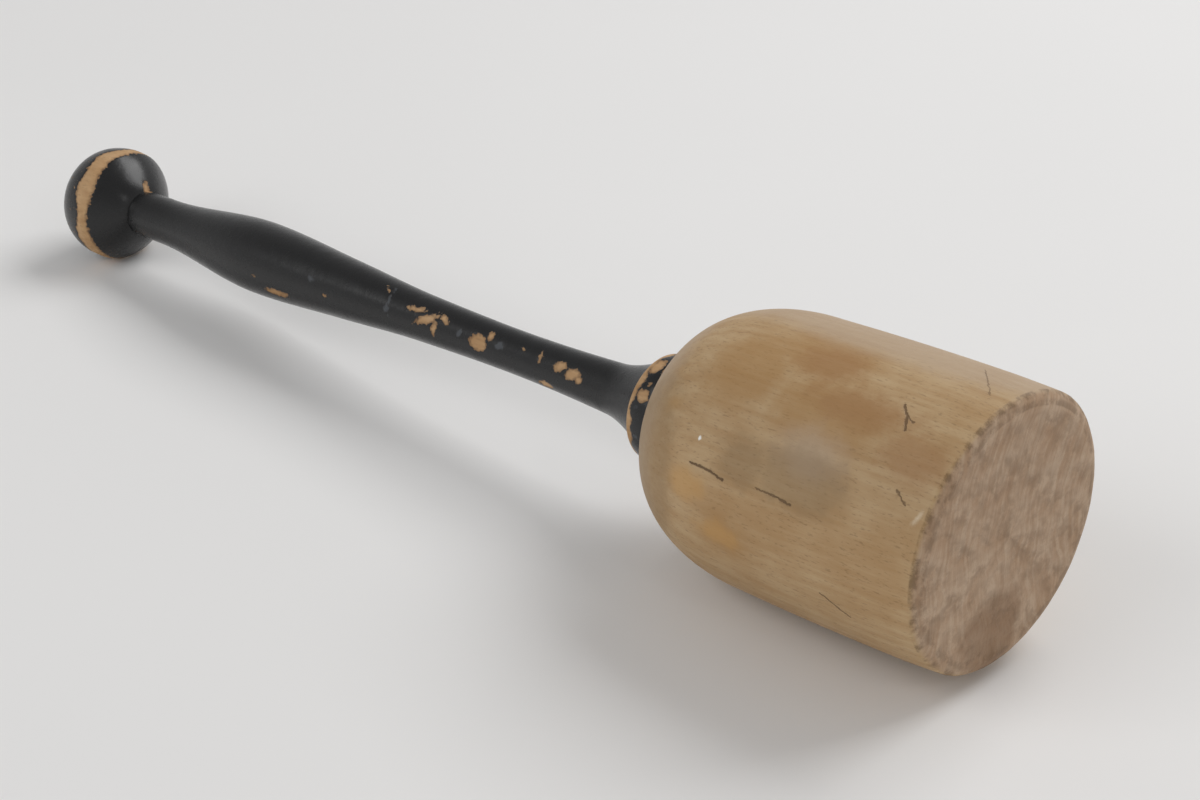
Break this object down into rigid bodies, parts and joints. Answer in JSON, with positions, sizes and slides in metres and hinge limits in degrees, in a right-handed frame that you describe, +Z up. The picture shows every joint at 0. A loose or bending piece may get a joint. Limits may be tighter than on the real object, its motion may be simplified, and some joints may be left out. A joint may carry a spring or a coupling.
{
  "type": "wooden pestle",
  "caption": "Turned wooden kitchen pestle: domed barrel head with a flat striking face, a slim handle with a swelling grip and a mushroom knob, lying at rest.",
  "frame": {"origin": "on the table under the middle of the object's box, with the pestle lying on its shoulder and its knob", "axes": "+Z up; +X along the table from the knob to the head, so the striking face looks along +X and about 4 degrees up; +Y across"},
  "size_m": [0.355, 0.075, 0.0786],
  "materials": {
    "head_wood": "matte",
    "handle_paint": "gloss",
    "wedge_wood": "matte"
  },
  "bodies": {
    "root": {"head": "head_wood", "handle": "handle_paint", "fox_wedge": "wedge_wood"}
  },
  "joints": []
}
